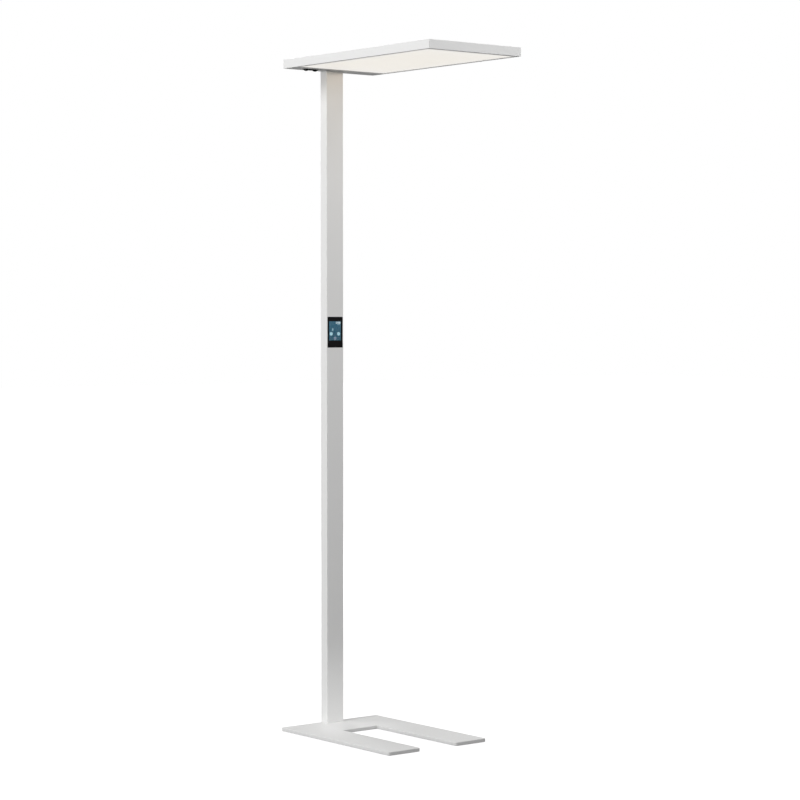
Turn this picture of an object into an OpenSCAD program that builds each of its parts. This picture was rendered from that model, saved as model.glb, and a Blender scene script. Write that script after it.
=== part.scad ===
// Free-standing office luminaire: a flat rectangular head on a slim extruded column,
// which stands at the rear of a U-shaped floor plate. The head reaches forward over the
// desk, towards -Y. The origin is on the floor, under the middle of the head. Millimetres.

/* [Overall] */
// Height from the floor to the top of the head
total_h = 1950; // [1800:5:2100]
// Gap left round pieces that are dropped into place
slip = 0.3; // [0.2:0.05:0.4]

/* [Base plate] */
// Length of the base, from its rear edge to the leg ends
base_l = 508; // [440:1:560]
// Width across both legs
base_w = 352; // [320:1:400]
// Thickness of the steel plate
base_t = 10; // [8:0.5:14]
// Width of one leg
leg_w = 112; // [80:1:130]
// Depth of the bridge that joins the legs at the rear
bridge_d = 148; // [110:1:180]
// Plan radius of the outer corners
base_r = 7; // [3:0.5:12]
// Chamfer along the plate's edges
base_edge = 0.8; // [0.3:0.1:1.5]

/* [Floor glides] */
// Radius of a glide
glide_r = 11; // [8:0.5:14]
// How far a glide stands below the plate
glide_h = 1; // [0.6:0.1:2.5]
// Depth of the pocket that holds a glide
glide_pocket = 2; // [1:0.5:4]
// Distance from the plate's edges to a glide's centre
glide_in = 26; // [20:1:34]

/* [Column] */
// Width of the column, across the front
col_w = 60; // [59:0.5:75]
// Depth of the column, front to rear
col_d = 30; // [29:0.5:36]
// Wall thickness of the column profile
col_wall = 2.5; // [2:0.1:2.8]
// Radius on the profile's outer edges
col_r = 1; // [0.5:0.1:1.8]
// Thickness of the web between the two chambers
web_t = 2; // [1.5:0.1:2.5]
// Depth of the front chamber, from the front wall to the web
front_chamber = 12.5; // [12:0.1:13]

/* [Screw ports] */
// Bore radius of a screw port
port_r = 2.7; // [2.2:0.05:2.9]
// Wall round a screw port
port_wall = 1.6; // [1.2:0.1:2]
// Distance between the front and rear pair of ports
port_pitch = 12; // [11:0.1:12.4]
// Width of the slit that opens a port to its chamber
port_slit = 2; // [1:0.1:2.5]
// Length of thread that a frame screw has in its port
port_grip = 26; // [18:1:40]
// Head radius of a countersunk frame screw
frame_head_r = 6; // [5.5:0.1:6.4]

/* [Cable entry] */
// Height of the entry's centre above the base plate
entry_z = 45; // [40:1:70]
// Bore radius of the grommet, for the supply cord
entry_r = 3.75; // [3:0.05:4.5]
// Radius of the grommet's flange
grommet_r = 9; // [8:0.1:10]
// Radius of the grommet's neck, through the wall
grommet_neck = 6.3; // [5.7:0.1:7]
// Thickness of the grommet's outer flange, set flush in the wall
grommet_t = 1; // [0.6:0.1:1.2]
// How far the grommet's inner bead stands inside the wall
grommet_bead = 1.2; // [0.8:0.1:1.6]

/* [Leads in the column] */
// Height of the supply terminal's underside above the base plate
terminal_z = 72; // [68:1:110]
// Width of the supply terminal
terminal_w = 30; // [24:1:34]
// Height of the supply terminal
terminal_h = 20; // [16:1:28]
// Radius of the sheathed supply lead
lead_r = 3.2; // [2.6:0.1:3.6]
// Bend radius of the supply lead in the head, at its centre line
lead_bend = 8; // [7:0.5:8.5]
// Radius of the data lead
data_r = 2; // [1.5:0.1:2.4]
// Bend radius of the data lead in the head, at its centre line
data_bend = 6; // [5:0.5:7]
// Distance of the data lead from the column's middle
data_x = 12; // [9:0.5:15]
// Height of one lead clip
clip_h = 10; // [8:1:14]
// Number of lead clips up the column
clip_count = 5; // [3:1:8]

/* [Display] */
// Width of the cover glass
display_w = 55; // [50:0.5:55]
// Height of the cover glass
display_h = 90; // [84:0.5:110]
// Height of the glass's centre above the floor
display_z = 1162.5; // [1000:0.5:1300]
// Thickness of the cover glass
glass_t = 1.6; // [1:0.1:2]
// Gap round the glass in the column's cut-out
display_gap = 0.2; // [0.1:0.05:0.3]
// Width of the picture area
screen_w = 44; // [38:0.5:44.5]
// Height of the picture area
screen_h = 56; // [50:0.5:60]
// Distance from the glass's upper edge to the picture area
screen_top = 13; // [10:0.5:15]
// Thickness of the foam seal between the glass and the panel
seal_t = 0.5; // [0.3:0.05:0.8]
// Thickness of the display panel
lcd_t = 3; // [2.5:0.1:3.4]
// Edge of the display panel outside the picture area
lcd_edge = 2.5; // [2:0.1:3]
// Thickness of the circuit boards
board_t = 1.6; // [1.2:0.1:1.8]
// Wall thickness of the display housing
housing_wall = 1.5; // [1.2:0.1:1.8]
// Height of the posts that carry the display board
post_h = 3; // [2.5:0.1:3.2]

/* [Head] */
// Length of the head, rear to front
head_l = 666; // [620:2:720]
// Width of the head
head_w = 326; // [320:2:360]
// Thickness of the head
head_t = 25; // [24.5:0.5:30]
// Radius on the head's outer long edges
edge_r = 0.6; // [0.3:0.1:1]

/* [Head rails] */
// Wall thickness of the mitred rails
rail_wall = 2; // [1.6:0.1:2.2]
// Width of the lip that carries the light panel, from the outer face
lip_w = 10; // [9:0.5:13]
// Thickness of the lip
lip_t = 1.5; // [1.2:0.1:2]
// Thickness of the inner fins and of the cover ledge
fin_t = 1.5; // [1.2:0.1:1.8]
// Depth of the channel that holds the corner keys
channel_d = 3.8; // [3:0.1:4]
// Height of the key channel
channel_h = 7; // [5:0.5:7.5]
// Height of the channel's return lips
return_h = 2; // [1:0.1:2.2]
// Width of the ledge under the top cover
ledge_w = 7; // [6:0.5:8]
// Length of one leg of a corner key
key_l = 34; // [24:1:50]

/* [Light panel] */
// Thickness of the prismatic panel
panel_t = 2; // [1.5:0.1:2.5]
// Thickness of the light guide
guide_t = 3; // [2.4:0.1:3.5]
// Thickness of the reflector sheet
reflector_t = 0.5; // [0.3:0.1:0.8]
// Thickness of the edge light board
strip_t = 1; // [0.8:0.1:1.2]
// Height of an edge light emitter above its board
emitter_h = 0.7; // [0.5:0.05:0.9]
// Distance from one edge light emitter to the next
emitter_pitch = 14; // [10:0.5:24]
// Side of a light emitter
emitter_s = 2.4; // [1.8:0.1:2.8]

/* [Tray and uplight] */
// Sheet thickness of the chassis tray
tray_t = 1.5; // [1:0.1:1.8]
// Height of the tray's side flanges above its floor
flange_h = 9; // [6:0.5:11]
// Length of one uplight board
upboard_l = 210; // [160:2:240]
// Width of one uplight board
upboard_w = 44; // [36:1:56]
// Distance from the head's middle to an uplight board's middle
upboard_x = 78; // [60:1:90]
// Gap between the uplight boards in a row
upboard_gap = 16; // [8:1:30]
// Emitters along one uplight board
upboard_cols = 8; // [4:1:12]

/* [Top cover] */
// Thickness of the top cover
cover_t = 2; // [1.5:0.1:2.4]
// Width of the cover between the head's side and the window
window_side = 40; // [34:1:60]
// Width of the cover between the head's front and the window
window_front = 40; // [34:1:60]
// Width of the cover between the head's rear and the window
window_rear = 104; // [80:1:140]
// Width of the window's flange under the cover
window_flange = 6; // [4:0.5:9]
// Thickness of the window's flange
window_t = 1.7; // [1.4:0.1:2]
// Number of cover screws along each side
cover_screws = 4; // [2:1:6]
// Shank radius of a small screw
small_r = 1.5; // [1.2:0.05:1.6]
// Head radius of a small screw
small_head_r = 2.8; // [2.4:0.1:3]

/* [Rear zone] */
// Depth of the opaque zone on the underside, from the rear face
rear_zone = 63; // [60:1:80]
// Overlap between the light panel and the rear cover's ledge
panel_seat = 8; // [6:0.5:9]
// Thickness of the rear cover's upper flange
rear_flange_t = 1.5; // [1.2:0.1:2]

/* [Head bracket] */
// Width of the bracket over the column
bracket_w = 84; // [76:1:92]
// Thickness of the bracket over the column
bracket_t = 5; // [4:0.1:5.2]
// Width of the bracket's forward arm
arm_w = 50; // [40:1:60]
// Thickness of the forward arm
arm_t = 4; // [3:0.1:5]
// Reach of the arm, from the head's rear face
arm_reach = 150; // [130:1:190]
// Width of the gap cut in the rear rail's fins over the bracket
notch_w = 112; // [108:1:130]

/* [Driver] */
// Length of the driver's case
driver_l = 76; // [60:1:78]
// Width of the driver's case
driver_w = 40; // [30:1:42]
// Height of the driver's case
driver_h = 16; // [12:0.5:17]
// Gap between the bracket's plate and the driver's ear
driver_gap = 4; // [2:0.5:5]
// Length of a mounting ear on the driver's case
ear_l = 7; // [6.5:0.1:8]

/* [Sensors] */
// Distance from the head's rear face to the sensors' centres
sensor_in = 28; // [24:0.5:32]
// Distance from the head's middle to the midpoint of the two sensors
sensor_x = 87; // [80:0.5:95]
// Distance from one sensor to the other
sensor_pitch = 32; // [27:0.5:34]
// Half width of the sensors' bezel
bezel_r = 10; // [9.8:0.1:12]
// Thickness of the bezel below the cover
bezel_t = 1.2; // [0.8:0.1:1.6]
// Radius of the presence sensor's lens
presence_r = 8; // [7.2:0.1:8.2]
// How far the presence sensor's lens stands out of the bezel
presence_h = 4.2; // [3:0.1:5]
// Radius of the daylight sensor's lens
daylight_r = 8; // [6.5:0.1:8.2]
// How far the daylight sensor's lens stands out of the bezel
daylight_h = 4.2; // [2.5:0.1:5]
// Wall thickness of a lens
lens_wall = 1.2; // [0.8:0.1:1.6]
// Height of the sensor board above the rear cover
standoff_h = 5; // [4.5:0.1:5.4]
// Length of the sensor board
sensor_board_l = 76; // [72:1:80]
// Width of the sensor board
sensor_board_w = 36; // [30:1:38]

/* [Hidden] */

$fn = 48;
// Fine steps on the corners that are blended together
blend_fn = 32;
// Overrun that lets a cut leave its piece cleanly
eps = 0.5;
// Play between a screw and what it turns in
thread_gap = 0.05;
// Play round a countersunk head
head_gap = 0.1;
// Clearance of a plain screw hole over the shank
hole_gap = 0.4;
// Gap between a small screw's tip and the end of its hole
tip_gap = 0.15;
// Head height of a small pan head screw
pan_h = 1.8;
// Overlap that joins two forms of one piece
joint = 0.2;

// Shank radius, head radius and head height of a display board screw
board_screw_r = 1;
board_screw_head = 1.8;
board_screw_head_h = 1.1;
// Distance from a board's edges to its screws
board_screw_in = 4;
// Gap round the display housing, behind the glass
housing_gap = 0.3;
// Gap between the display board and the housing's side walls
board_gap = 0.5;
// Distance from the housing's ends to its screws
housing_screw_in = 5.5;
// Gap between the display board's ends and the heads of the housing screws
board_end = 4.9;
// Radius of the posts under the display board
post_r = 2.4;
// Forms on the display board, from x, z to x, z, and their height: processor, memory, socket
board_chips = [[-8, -12, 8, 4, 1.2], [11, 6, 18, 15, 0.9], [-17, 20, -7, 26, 2]];

// Gap between the supply lead and the column's web
lead_gap = 0.2;
// Room round a lead where it passes into the head
lead_play = 2.6;
// Width of a lead clip on each side of the lead
clip_side = 4;
// Wire entry, clamping screw recess and barrier slot of the supply terminal
wire_r = 1.6;
pole_screw_r = 1.8;
pole_screw_depth = 2;
barrier_w = 1;
// How far the grommet's inner bead stands out of its neck
bead_out = 0.9;

// Length of the step between the bracket's plate and its arm
arm_step = 14;
// Distance from the arm's sides to its screws
arm_screw_in = 9;
// Width and thickness of the driver's ears
ear_w = 12;
ear_t = 1.6;
// Width, height and pitch of the ribs on the driver's lid, and their distance from its ends
rib_w = 2;
rib_h = 0.8;
rib_pitch = 6;
rib_in = 6;
// Gap between the driver and the rear rail's fins
fin_gap = 0.7;

// Ends of the edge light strips: from the front, from the rear, and beyond the last emitter
strip_front = 12;
strip_rear = 6;
strip_end = 5;
// Gap between a strip and the sheets above and below it
strip_gap = 0.1;
// How far a cover screw reaches below the rails' ledge
cover_tip = 1;

// Length, width and height of the data socket on the sensor board
data_plug_l = 6;
data_plug_w = 8;
data_plug_h = 7;
// Radius of the sensor board's standoffs
standoff_r = 3;
// Radii of the sensing elements, and their height above the underside
presence_can_r = 4.5;
daylight_can_r = 3;
can_v = 1;
// Width of the bezel's flange outside its slot
bezel_lip = 2;
// Thickness of a lens's rim, and how far its neck is set in from the rim
rim_t = 0.6;
neck_in = 0.8;

// Colours
paint = [0.86, 0.86, 0.85];
raw_alloy = [0.74, 0.75, 0.77];
steel = [0.55, 0.56, 0.58];
black = [0.05, 0.05, 0.06];
board_green = [0.10, 0.35, 0.22];
board_white = [0.93, 0.93, 0.90];
clear_sheet = [0.90, 0.94, 0.96];
opal = [0.98, 0.96, 0.92];
picture_blue = [0.10, 0.25, 0.35];
terminal_grey = [0.80, 0.80, 0.78];

// Main planes
rear_y = head_l / 2;
front_y = -head_l / 2;
side_x = head_w / 2;
base_top = glide_h + base_t;
base_front_y = rear_y - base_l;
head_z = total_h - head_t;

// Column section, measured from its middle
col_y = rear_y - col_d / 2;
col_front_y = rear_y - col_d;
col_len = head_z - base_top;
port_x = col_w / 2 - col_wall - port_r - port_wall / 2;
port_y = port_pitch / 2;
web_front = col_wall + front_chamber;
web_rear = web_front + web_t;
rear_chamber = col_d - col_wall - web_rear;
frame_screw_r = port_r - thread_gap;
frame_hole_r = port_r + hole_gap;

// Leads and terminal in the column
lead_y = col_front_y + web_rear + lead_r + lead_gap;
data_y = col_front_y + col_wall + front_chamber / 2;
terminal_top = base_top + terminal_z + terminal_h;

// Display, depths measured back from the column's front face
lcd_front = glass_t + seal_t;
lcd_rear = lcd_front + lcd_t;
lcd_w = screen_w + 2 * lcd_edge;
lcd_h = screen_h + 2 * lcd_edge;
screen_z = display_z + display_h / 2 - screen_top - screen_h / 2;
housing_w = display_w - 2 * housing_gap;
housing_h = display_h - 2 * housing_gap;
housing_screw_z = housing_h / 2 - housing_screw_in;
board_back = web_front - housing_wall - post_h;
display_board_w = housing_w - 2 * housing_wall - 2 * board_gap;
display_board_h = 2 * (housing_screw_z - small_head_r - board_end);
board_screw_x = display_board_w / 2 - board_screw_in;
board_screw_z = display_board_h / 2 - board_screw_in;

// Heights in the head, measured up from its underside
v_panel = lip_t;
v_guide = v_panel + panel_t;
v_reflector = v_guide + guide_t;
v_tray = v_reflector + reflector_t;
v_floor = v_tray + tray_t;
v_fin = v_floor + slip;
v_channel = v_fin + fin_t;
v_upper_fin = v_channel + channel_h;
v_cover = head_t - cover_t;
v_ledge = v_cover - fin_t;
v_bracket = lip_t + rear_flange_t;
v_screw_seat = v_bracket + bracket_t;

// Distances in from the head's outer faces
hook_in = rail_wall + channel_d + fin_t;
ledge_in = rail_wall + ledge_w;
guide_in = rail_wall + strip_t + emitter_h + slip;
inner_in = rail_wall + slip;
lip_gap_in = lip_w + slip;
cover_screw_in = rail_wall + ledge_w / 2;

// Rear compartment
flange_front = rear_zone - panel_seat;
stack_rear_y = rear_y - flange_front - slip;
arm_start = flange_front - arm_step;
tray_rear_y = rear_y - flange_front - 2 * slip;
driver_x = bracket_w / 2 + driver_gap + ear_l;
driver_y = rear_y - hook_in - fin_gap - driver_w / 2;
sensor_y = rear_y - sensor_in;
v_sensor_board = v_bracket + standoff_h;
data_plug_x = -sensor_x + sensor_board_l / 2;
// Height at which the blind screw holes in the rear cover end
v_blind = lip_t / 2;

// Screw positions round the column, in plan
port_points = [for (sx = [-1, 1], sy = [-1, 1]) [sx * port_x, col_y + sy * port_y]];

// Centres of the floor glides: leg ends, mid legs and rear corners
glide_points = [for (sx = [-1, 1], y = [base_front_y + glide_in, rear_y - base_l / 2,
    rear_y - glide_in]) [sx * (base_w / 2 - glide_in), y]];

// Centres of the uplight boards
upboard_points = [for (sx = [-1, 1], sy = [-1, 1])
    [sx * upboard_x, (window_front - window_rear) / 2 + sy * (upboard_l + upboard_gap) / 2]];

// Centres of the tray screws on the bracket's arm
tray_points = [for (sx = [-1, 1], k = [0.25, 0.85])
    [sx * (arm_w / 2 - arm_screw_in), rear_y - flange_front - k * (arm_reach - flange_front)]];

// Places of the top cover's screws along one side
cover_step = (head_l - 2 * key_l) / cover_screws;
cover_points = [for (sx = [-1, 1], i = [0:cover_screws - 1])
    [sx * (side_x - cover_screw_in), front_y + key_l + (i + 0.5) * cover_step]];

// Centres of the driver's ear screws
driver_points = [for (x = [driver_x - ear_l / 2, driver_x + driver_l + ear_l / 2])
    [x, driver_y]];

// Centres of the sensor board's standoffs
sensor_points = [for (sx = [-1, 1], sy = [-1, 1])
    [-sensor_x + sx * (sensor_board_l / 2 - board_screw_in),
        sensor_y + sy * (sensor_board_w / 2 - board_screw_in)]];

// Points on a quarter circle of radius r round c, starting at angle a
function quarter(c, r, a, n = 4) = [for (i = [0:n]) c + r * [cos(a + 90 * i / n), sin(a + 90 * i / n)]];

// Section of a head rail: x runs in from the outer face, y up from the underside
rail_points = concat(
    quarter([edge_r, edge_r], edge_r, 180),
    [[lip_w, 0], [lip_w, lip_t], [rail_wall, lip_t], [rail_wall, v_fin],
        [hook_in, v_fin], [hook_in, v_channel + return_h], [hook_in - fin_t, v_channel + return_h],
        [hook_in - fin_t, v_channel], [rail_wall, v_channel], [rail_wall, v_upper_fin],
        [hook_in - fin_t, v_upper_fin], [hook_in - fin_t, v_upper_fin - return_h],
        [hook_in, v_upper_fin - return_h], [hook_in, v_upper_fin + fin_t],
        [rail_wall, v_upper_fin + fin_t], [rail_wall, v_ledge], [ledge_in, v_ledge],
        [ledge_in, v_cover], [rail_wall, v_cover], [rail_wall, head_t]],
    quarter([edge_r, head_t - edge_r], edge_r, 90));

// ---- shared shapes ----

// Block between two corners
module block(a, b) {
    translate(a)
        cube(b - a);
}

// Countersunk screw with a hexagon socket: its flat head at z = 0, its shank upwards
module flat_screw(r, head_r, len) {
    cone_h = head_r - r;
    difference() {
        rotate_extrude()
            polygon([[0, 0], [head_r, 0], [r, cone_h], [r, len], [0, len]]);
        translate([0, 0, -eps])
            cylinder(r = r * 0.75, h = cone_h * 0.7 + eps, $fn = 6);
    }
}

// The hole for that screw: a plain hole through depth, with its countersink at z = 0
module flat_hole(r, head_r, depth) {
    translate([0, 0, -eps])
        cylinder(r = r, h = depth + 2 * eps);
    translate([0, 0, -eps])
        cylinder(r1 = head_r + head_gap + eps, r2 = r, h = head_r + head_gap + eps - r);
}

// Pan head screw with a hexagon socket: the head above z = 0, the shank below
module pan_screw(r, head_r, head_h, len) {
    difference() {
        union() {
            cylinder(r = head_r, h = head_h);
            translate([0, 0, -len])
                cylinder(r = r, h = len + head_h / 2);
        }
        translate([0, 0, head_h * 0.4])
            cylinder(r = head_r * 0.5, h = head_h, $fn = 6);
    }
}

// Small pan head screw, its shank through depth
module small_screw(depth) {
    pan_screw(small_r, small_head_r, pan_h, depth);
}

// Slot shape with round ends, its long side along x
module pill(pitch, r, h) {
    for (sx = [-1, 1])
        translate([sx * pitch / 2, 0, 0])
            cylinder(r = r, h = h);
    translate([-pitch / 2, -r, 0])
        cube([pitch, 2 * r, h]);
}

// Everything in the head is placed from its underside
module in_head() {
    translate([0, 0, head_z])
        children();
}

// ---- base ----

// One straight bar of the plate, with rounded corners and broken edges
module plate_bar(x0, x1, y0, y1) {
    hull()
        for (x = [x0 + base_r, x1 - base_r], y = [y0 + base_r, y1 - base_r]) {
            translate([x, y, glide_h])
                cylinder(r = base_r - base_edge, h = base_t, $fn = blend_fn);
            translate([x, y, glide_h + base_edge])
                cylinder(r = base_r, h = base_t - 2 * base_edge, $fn = blend_fn);
        }
}

// Steel floor plate: two legs joined by a bridge at the rear
module base_plate() {
    color(paint)
        difference() {
            union() {
                plate_bar(-base_w / 2, base_w / 2, rear_y - bridge_d, rear_y);
                plate_bar(-base_w / 2, -base_w / 2 + leg_w, base_front_y, rear_y);
                plate_bar(base_w / 2 - leg_w, base_w / 2, base_front_y, rear_y);
            }
            for (p = port_points)
                translate([p.x, p.y, glide_h])
                    flat_hole(frame_hole_r, frame_head_r, base_t);
            for (p = glide_points)
                translate([p.x, p.y, glide_h - eps])
                    cylinder(r = glide_r + slip / 2, h = glide_pocket + eps);
        }
}

// Round plastic glides, pressed into pockets under the plate
module floor_glides() {
    foot_edge = glide_h * 0.6;
    color(black)
        for (p = glide_points)
            translate([p.x, p.y, 0])
                rotate_extrude()
                    polygon([[0, 0], [glide_r - foot_edge, 0], [glide_r, foot_edge],
                        [glide_r, glide_h + glide_pocket], [0, glide_h + glide_pocket]]);
}

// Screws from below, through the plate into the column's ports
module base_screws() {
    color(steel)
        for (p = port_points)
            translate([p.x, p.y, glide_h])
                flat_screw(frame_screw_r, frame_head_r, base_t + port_grip);
}

// ---- column ----

// Outline of the column with its small outer radius
module column_outline() {
    x = col_w / 2 - col_r;
    y = col_d / 2 - col_r;
    polygon(concat(
        quarter([x, y], col_r, 0), quarter([-x, y], col_r, 90),
        quarter([-x, -y], col_r, 180), quarter([x, -y], col_r, 270)));
}

// The two chambers that the web divides
module column_chambers() {
    inner_w = col_w - 2 * col_wall;
    translate([-inner_w / 2, -col_d / 2 + col_wall])
        square([inner_w, front_chamber]);
    translate([-inner_w / 2, -col_d / 2 + web_rear])
        square([inner_w, rear_chamber]);
}

// Screw port on the side wall at +x, open to its chamber through a slit
module screw_port() {
    difference() {
        union() {
            circle(r = port_r + port_wall);
            translate([0, -port_r])
                square([col_w / 2 - port_x - col_wall / 2, 2 * port_r]);
        }
        circle(r = port_r);
        translate([-port_r - 2 * port_wall, -port_slit / 2])
            square([port_r + 2 * port_wall, port_slit]);
    }
}

// Full section of the extrusion: shell, web and four screw ports
module column_section() {
    difference() {
        column_outline();
        column_chambers();
    }
    for (sx = [-1, 1], sy = [-1, 1])
        translate([sx * port_x, sy * port_y])
            scale([sx, 1])
                screw_port();
}

// The extruded column, milled for the display and drilled for the cable entry
module column_profile() {
    pocket_w = display_w + 2 * display_gap;
    pocket_h = display_h + 2 * display_gap;
    color(paint)
        difference() {
            translate([0, col_y, base_top])
                linear_extrude(height = col_len)
                    column_section();
            translate([-pocket_w / 2, col_front_y - eps, display_z - pocket_h / 2])
                cube([pocket_w, web_front + eps, pocket_h]);
            translate([0, rear_y + eps, base_top + entry_z])
                rotate([90, 0, 0]) {
                    cylinder(r = grommet_neck + slip / 2, h = col_wall + 2 * eps);
                    cylinder(r = grommet_r + slip / 2, h = grommet_t + eps);
                }
            for (sz = [-1, 1])
                translate([0, col_front_y + web_front - eps, display_z + sz * housing_screw_z])
                    rotate([-90, 0, 0])
                        cylinder(r = small_r + thread_gap, h = web_t + 2 * eps);
        }
}

// Rubber grommet, flush in the rear wall: flange, neck and inner bead round one bore
module cable_grommet() {
    bead_r = grommet_neck + bead_out;
    bead_y = col_wall + slip / 2;
    color(black)
        translate([0, rear_y, base_top + entry_z])
            rotate([90, 0, 0])
                rotate_extrude()
                    polygon([[entry_r, 0], [grommet_r, 0], [grommet_r, grommet_t],
                        [grommet_neck, grommet_t], [grommet_neck, bead_y], [bead_r, bead_y],
                        [grommet_neck, bead_y + grommet_bead], [entry_r, bead_y + grommet_bead]]);
}

// ---- supply and data leads ----

// Three-pole terminal on the web, where the supply cord ends
module supply_terminal() {
    depth = rear_chamber - slip;
    pole = terminal_w / 3;
    y0 = col_front_y + web_rear;
    color(terminal_grey)
        difference() {
            block([-terminal_w / 2, y0, base_top + terminal_z], [terminal_w / 2, y0 + depth, terminal_top]);
            for (i = [-1:1]) {
                translate([i * pole, lead_y, base_top + terminal_z - eps])
                    cylinder(r = wire_r, h = terminal_h * 0.45);
                for (k = [0.3, 0.7])
                    translate([i * pole, y0 + depth + eps, base_top + terminal_z + terminal_h * k])
                        rotate([90, 0, 0])
                            cylinder(r = pole_screw_r, h = pole_screw_depth + eps);
            }
            for (i = [-0.5, 0.5])
                block([i * pole - barrier_w / 2, y0 + depth / 2, base_top + terminal_z - eps],
                    [i * pole + barrier_w / 2, y0 + depth + eps, base_top + terminal_z + terminal_h * 0.2]);
        }
}

// A lead that runs straight up from z0 and bends over to x_end, towards +x or -x
module bent_lead(x, y, z0, r, bend, z_bend, x_end) {
    dir = x_end > x ? 1 : -1;
    translate([x, y, z0])
        cylinder(r = r, h = z_bend - z0);
    translate([x + dir * bend, y, z_bend])
        rotate([90, 0, 0])
            rotate([0, 0, dir > 0 ? 90 : 0])
                rotate_extrude(angle = 90)
                    translate([bend, 0])
                        circle(r = r);
    translate([x + dir * bend, y, z_bend + bend])
        rotate([0, dir * 90, 0])
            cylinder(r = r, h = abs(x_end - x) - bend);
}

// Sheathed lead from the terminal up the rear chamber and over to the driver
module supply_lead() {
    color(black)
        bent_lead(0, lead_y, terminal_top, lead_r, lead_bend,
            head_z + v_bracket + driver_h * 0.55 - lead_bend, driver_x);
}

// Thin lead from the display up the front chamber and over to the sensor board
module data_lead() {
    color(black)
        bent_lead(-data_x, data_y, display_z + housing_h / 2, data_r, data_bend,
            head_z + v_sensor_board + board_t + data_plug_h / 2 - data_bend, data_plug_x);
}

// Saddles that hold the supply lead against the web
module lead_clips() {
    clip_w = 2 * (lead_r + clip_side);
    clip_d = rear_chamber - slip;
    mouth = lead_r * 0.8;
    y0 = col_front_y + web_rear;
    step = (head_z - terminal_top) / (clip_count + 1);
    color(board_white)
        for (i = [1:clip_count])
            difference() {
                block([-clip_w / 2, y0, terminal_top + i * step - clip_h / 2],
                    [clip_w / 2, y0 + clip_d, terminal_top + i * step + clip_h / 2]);
                translate([0, lead_y, terminal_top + i * step - clip_h])
                    cylinder(r = lead_r + lead_gap / 2, h = 2 * clip_h);
                block([-mouth, lead_y, terminal_top + i * step - clip_h],
                    [mouth, y0 + clip_d + eps, terminal_top + i * step + clip_h]);
            }
}

// ---- display ----

// Places its children at the display's centre, y running back from the column's front face
module at_display() {
    translate([0, col_front_y, display_z])
        children();
}

// Moulded tub behind the glass, with posts for the board, fixed to the column's web
module display_housing() {
    cavity_w = housing_w - 2 * housing_wall;
    cavity_h = housing_h - 2 * housing_wall;
    color(black)
        at_display()
            difference() {
                union() {
                    difference() {
                        block([-housing_w / 2, glass_t, -housing_h / 2],
                            [housing_w / 2, web_front, housing_h / 2]);
                        block([-cavity_w / 2, glass_t - eps, -cavity_h / 2],
                            [cavity_w / 2, web_front - housing_wall, cavity_h / 2]);
                    }
                    for (sx = [-1, 1], sz = [-1, 1])
                        translate([sx * board_screw_x, board_back, sz * board_screw_z])
                            rotate([-90, 0, 0])
                                cylinder(r = post_r, h = post_h + housing_wall / 2);
                }
                for (sx = [-1, 1], sz = [-1, 1])
                    translate([sx * board_screw_x, board_back - eps, sz * board_screw_z])
                        rotate([-90, 0, 0])
                            cylinder(r = board_screw_r + thread_gap, h = post_h + eps);
                for (sz = [-1, 1])
                    translate([0, web_front - housing_wall - eps, sz * housing_screw_z])
                        rotate([-90, 0, 0])
                            cylinder(r = small_r + hole_gap, h = housing_wall + 2 * eps);
                translate([-data_x, col_wall + front_chamber / 2, housing_h / 2 - housing_wall - eps])
                    cylinder(r = data_r * 0.8, h = housing_wall + 2 * eps);
            }
}

// Circuit board behind the display panel, with its chips and the data socket
module display_board() {
    color(board_green)
        at_display()
            difference() {
                union() {
                    block([-display_board_w / 2, board_back - board_t, -display_board_h / 2],
                        [display_board_w / 2, board_back, display_board_h / 2]);
                    for (c = board_chips)
                        block([c[0], board_back - board_t - c[4], c[1]], [c[2], board_back - board_t, c[3]]);
                }
                for (sx = [-1, 1], sz = [-1, 1])
                    translate([sx * board_screw_x, board_back + eps, sz * board_screw_z])
                        rotate([90, 0, 0])
                            cylinder(r = board_screw_r + hole_gap / 2, h = board_t + 2 * eps);
            }
}

// The four screws that hold the display board on its posts
module board_screws() {
    color(steel)
        at_display()
            for (sx = [-1, 1], sz = [-1, 1])
                translate([sx * board_screw_x, board_back - board_t, sz * board_screw_z])
                    rotate([90, 0, 0])
                        pan_screw(board_screw_r, board_screw_head, board_screw_head_h,
                            board_t + post_h - tip_gap);
}

// The two screws that hold the housing to the column's web
module housing_screws() {
    color(steel)
        at_display()
            for (sz = [-1, 1])
                translate([0, web_front - housing_wall, sz * housing_screw_z])
                    rotate([90, 0, 0])
                        small_screw(housing_wall + web_t);
}

// Flat display panel, bonded behind the glass
module display_panel() {
    color(picture_blue)
        translate([0, col_front_y, screen_z])
            block([-lcd_w / 2, lcd_front, -lcd_h / 2], [lcd_w / 2, lcd_rear, lcd_h / 2]);
}

// Foam frame between the glass and the panel, open over the picture area
module display_seal() {
    color(black)
        translate([0, col_front_y, screen_z])
            difference() {
                block([-lcd_w / 2, glass_t, -lcd_h / 2], [lcd_w / 2, lcd_front, lcd_h / 2]);
                block([-screen_w / 2, glass_t - eps, -screen_h / 2],
                    [screen_w / 2, lcd_front + eps, screen_h / 2]);
            }
}

// Cover glass, flush with the column's front face
module display_glass() {
    color(black)
        at_display()
            block([-display_w / 2, 0, -display_h / 2], [display_w / 2, glass_t, display_h / 2]);
}

// ---- head frame ----

// A straight length of the rail extrusion along y, its outer face at x = 0, inside at +x
module rail_length(len) {
    translate([0, len / 2, 0])
        rotate([90, 0, 0])
            linear_extrude(height = len)
                polygon(rail_points);
}

// Wedge that keeps what lies inside both mitres of a rail of this length
module mitre_keep(len) {
    translate([0, 0, -eps])
        linear_extrude(height = head_t + 2 * eps)
            polygon([[0, -len / 2], [lip_w + eps, -len / 2 + lip_w + eps],
                [lip_w + eps, len / 2 - lip_w - eps], [0, len / 2]]);
}

// A rail with both ends cut at 45 degrees
module mitred_rail(len) {
    intersection() {
        rail_length(len);
        mitre_keep(len);
    }
}

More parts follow.
